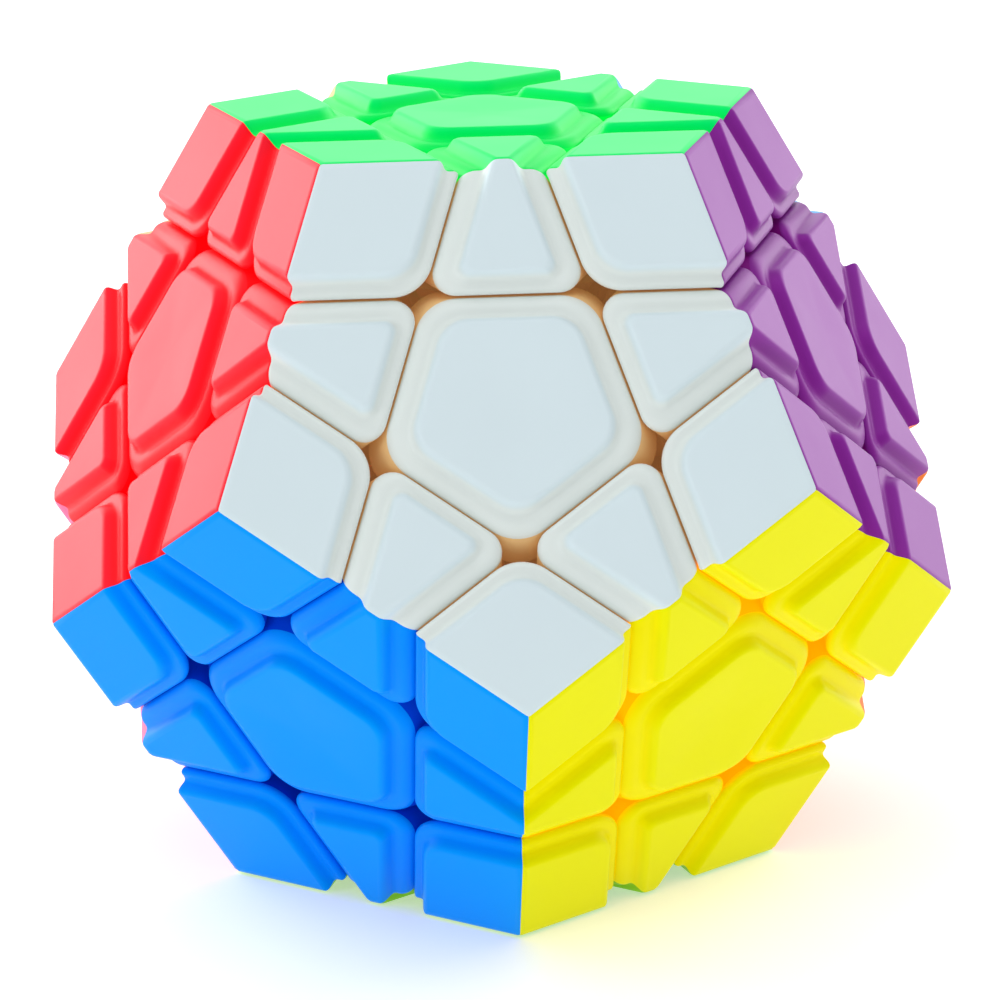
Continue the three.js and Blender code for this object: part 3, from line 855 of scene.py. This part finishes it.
def edge_pattern():
    """The edge between green and white: two shells and a foot."""
    seam = (axis[PATTERN[0]] + axis[PATTERN[1]]).normalized()
    turn = Matrix.Rotation(math.pi, 3, seam)
    points, faces = edge_facet()
    other = ([turn @ p for p in points], [(ring, number + 2) for ring, number in faces])
    first = (axis[PATTERN[0]] - seam * axis[PATTERN[0]].dot(seam)).normalized()
    ends = [c for c in colours if c not in PATTERN[:2] and touch(c, *PATTERN[:2])]
    return joined([(points, faces), other, foot(seam, first, PATTERN[:2], ends)])


pattern = edge_pattern()
for i, a in enumerate(colours):
    for b in colours[i + 1:]:
        if touch(a, b):
            put_together("edge", (a, b), pattern, PATTERN[:2], (a, b))


# ------------------------------------------------------------------ centres and their lids
# A centre is a five-sided cap with a well in it for the screw, spring and washer. The lid over the well
# is the raised panel: it presses into a recess, with only a hairline round it at the panel's foot.

CENTRE_TIP = (4.2, 3.2)
CENTRE_TIP_STEPS = 10
CENTRE_SIDE_STEPS = 5
CENTRE_WALL_LINES = (-3.6, -2.6, -1.6)
RECESS_INSET = 1.24
RECESS_DEPTH = 0.9
WELL_RADIUS = 4.0
BORE_RADIUS = 1.9
LID_CLEARANCE = 0.02
LIP = 0.03
LIP_THICK = 0.003
LID_DEPTH = 0.75
LID_DISH = 0.2


def centre_ring(height, inset):
    """Points round a centre at a height, drawn in by inset: five rounded tips and the sides between them."""
    radius = tip_radius(inset, *CENTRE_TIP)
    side = side_at(False, inset)
    corners = outline([(k * FIFTH, side, radius, CENTRE_TIP_STEPS) for k in range(5)])
    ring = []
    for corner, after in zip(corners, corners[1:] + corners[:1]):
        step = (after[0] - corner[-1]) / CENTRE_SIDE_STEPS
        ring += corner + [corner[-1] + step * k for k in range(1, CENTRE_SIDE_STEPS)]
    return ring


def stacked(rings, numbers, closed):
    """Faces between rings of as many points each, laid one after the other."""
    count = len(rings[0])
    points = [p for ring in rings for p in ring]
    faces = []
    last = len(rings) if closed else len(rings) - 1
    for i in range(last):
        i2 = (i + 1) % len(rings)
        for k in range(count):
            k2 = (k + 1) % count
            faces.append(((i * count + k, i * count + k2, i2 * count + k2, i2 * count + k), numbers[i]))
    return points, faces


def centre_pattern():
    """The cap of the green face, from its foot up over the shelf, into the well and out of the bore."""
    face, one = PATTERN[:2]
    lines = [(SHELF + h, edge_inset(h, False)) for h in CENTRE_WALL_LINES + ROUND_LINES]
    lines += [(SHELF, RECESS_INSET - 0.02), (SHELF - 0.02, RECESS_INSET), (SHELF - RECESS_DEPTH, RECESS_INSET)]
    cap = [[in_space(p, height, face, one) for p in centre_ring(height, inset)] for height, inset in lines]
    around = [p - axis[face] * p.dot(axis[face]) for p in cap[0]]
    around = [p.normalized() for p in around]
    neighbours = [c for c in colours if c != face and touch(c, face)]
    stalk = []
    for distance in reversed(FOOT_LINES[1:]):
        ring = []
        for out in around:
            angle = reach_of_foot(axis[face], out, distance, (face,), neighbours)
            ring.append((axis[face] * math.cos(angle) + out * math.sin(angle)) * distance)
        stalk.append(ring)
    bore = [
        (WELL_RADIUS, SHELF - RECESS_DEPTH), (WELL_RADIUS, WELL_FLOOR), (BORE_RADIUS, WELL_FLOOR),
        (BORE_RADIUS, FOOT_END + 0.1), (BORE_RADIUS + 0.3, FOOT_END - 0.1),
    ]
    bore = [[out * radius + axis[face] * height for out in around] for radius, height in bore]
    rings = stalk + cap + bore
    numbers = [1] * (len(stalk) + len(CENTRE_WALL_LINES)) + [0] * (len(ROUND_LINES) + 1) + [1] * (len(bore) + 2)
    return stacked(rings, numbers, True)


def lid_pattern():
    """The raised panel of a centre, slightly dished, on the plug that holds it in its recess."""
    face, one = PATTERN[:2]
    foot_inset = RECESS_INSET + LID_CLEARANCE
    lines = [(SHELF - LID_DEPTH, foot_inset + 0.1), (SHELF - LID_DEPTH + 0.1, foot_inset)]
    lines += [(SHELF + LIP_THICK, foot_inset), (SHELF + LIP_THICK, RECESS_INSET - LIP)]
    lines += [(SHELF + h, inset) for inset, h in PANEL_LINES[1:]] + [(SHELF + PANEL_RISE, FLAT_LINE)]
    rings = [[in_space(p, height, face, one) for p in centre_ring(height, inset)] for height, inset in lines]
    top = INRADIUS * axis[face]
    for share in (0.85, 0.68, 0.5, 0.32, 0.15):
        sunk = LID_DISH * (1 - share ** 2) ** 2
        rings.append([top + (p - top) * share - axis[face] * sunk for p in rings[len(lines) - 1]])
    points, faces = stacked(rings, [1, 1] + [0] * len(rings), False)
    count = len(rings[0])
    faces.append((tuple(range(count)), 1))
    faces.append((tuple(len(points) - count + k for k in range(count)), 0))
    return points, faces


cap, lid = centre_pattern(), lid_pattern()
for colour in colours:
    neighbour = next(c for c in colours if c != colour and touch(c, colour))
    put_together("centre", (colour,), cap, PATTERN[:2], (colour, neighbour))
    cover = make_piece(f"{colour}_lid", carried(lid[0], PATTERN[:2], (colour, neighbour)), lid[1], plastic[colour])
    node = f"centre_{colour}"
    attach(cover, body_with[HELD_WITH.get(node, node)])


# ------------------------------------------------------------------ floor, light and camera
# A plain pale floor under a white tent: broad soft lights above, behind and at both sides, a smaller one
# at the front left, and the floor bright enough to light the undersides.

floor_mesh = bpy.data.meshes.new("floor")
bm = bmesh.new()
bmesh.ops.create_grid(bm, x_segments=1, y_segments=1, size=6.0)
bm.to_mesh(floor_mesh)
bm.free()
floor = bpy.data.objects.new("floor", floor_mesh)
bpy.context.scene.collection.objects.link(floor)
floor.location.z = -0.0002
pale = bpy.data.materials.new("pale_floor")
pale.use_nodes = True
paint = pale.node_tree.nodes["Principled BSDF"]
paint.inputs["Base Color"].default_value = (0.86, 0.86, 0.86, 1)
paint.inputs["Roughness"].default_value = 0.9
paint.inputs["Emission Color"].default_value = (1, 1, 1, 1)
paint.inputs["Emission Strength"].default_value = 0.36
floor_mesh.materials.append(pale)

world = bpy.data.worlds.new("tent")
world.use_nodes = True
world.node_tree.nodes["Background"].inputs["Color"].default_value = (0.95, 0.98, 1.0, 1)
world.node_tree.nodes["Background"].inputs["Strength"].default_value = 0.38
bpy.context.scene.world = world


def softbox(name, place, size, strength):
    """A square soft light aimed at the middle of the puzzle."""
    light = bpy.data.lights.new(name, "AREA")
    light.shape = "SQUARE"
    light.size = size
    light.energy = strength * size * size * math.pi
    lamp = bpy.data.objects.new(name, light)
    lamp.location = place
    aim = middle / 1000 - Vector(place)
    lamp.rotation_mode = "QUATERNION"
    lamp.rotation_quaternion = aim.to_track_quat("-Z", "Y")
    lamp.visible_camera = False
    bpy.context.scene.collection.objects.link(lamp)


softbox("left_tent", (-0.9, 0.75, 0.45), 1.0, 3.4)
softbox("right_tent", (0.95, 0.70, 0.45), 1.0, 2.5)
softbox("back_tent", (0.0, 1.2, 0.55), 1.0, 1.1)
softbox("top_tent", (0.0, -0.3, 1.2), 1.1, 1.7)
softbox("front_fill", (-1.15, -0.75, 0.5), 0.5, 3.4)

camera_data = bpy.data.cameras.new("camera")
camera_data.sensor_width = 36.0
camera_data.lens = 139.08
camera_data.clip_start = 0.01
camera = bpy.data.objects.new("camera", camera_data)
right = Vector((0.99769, -0.06555, -0.01764))
down = Vector((-0.03547, -0.28193, -0.95878))
ahead = Vector((0.05788, 0.95719, -0.28361))
turn = Matrix((right, -down, -ahead)).transposed().to_4x4()
camera.matrix_world = Matrix.Translation((-0.02213, -0.37553, 0.14696)) @ turn
bpy.context.scene.collection.objects.link(camera)
bpy.context.scene.camera = camera
bpy.context.scene.view_settings.view_transform = "Standard"
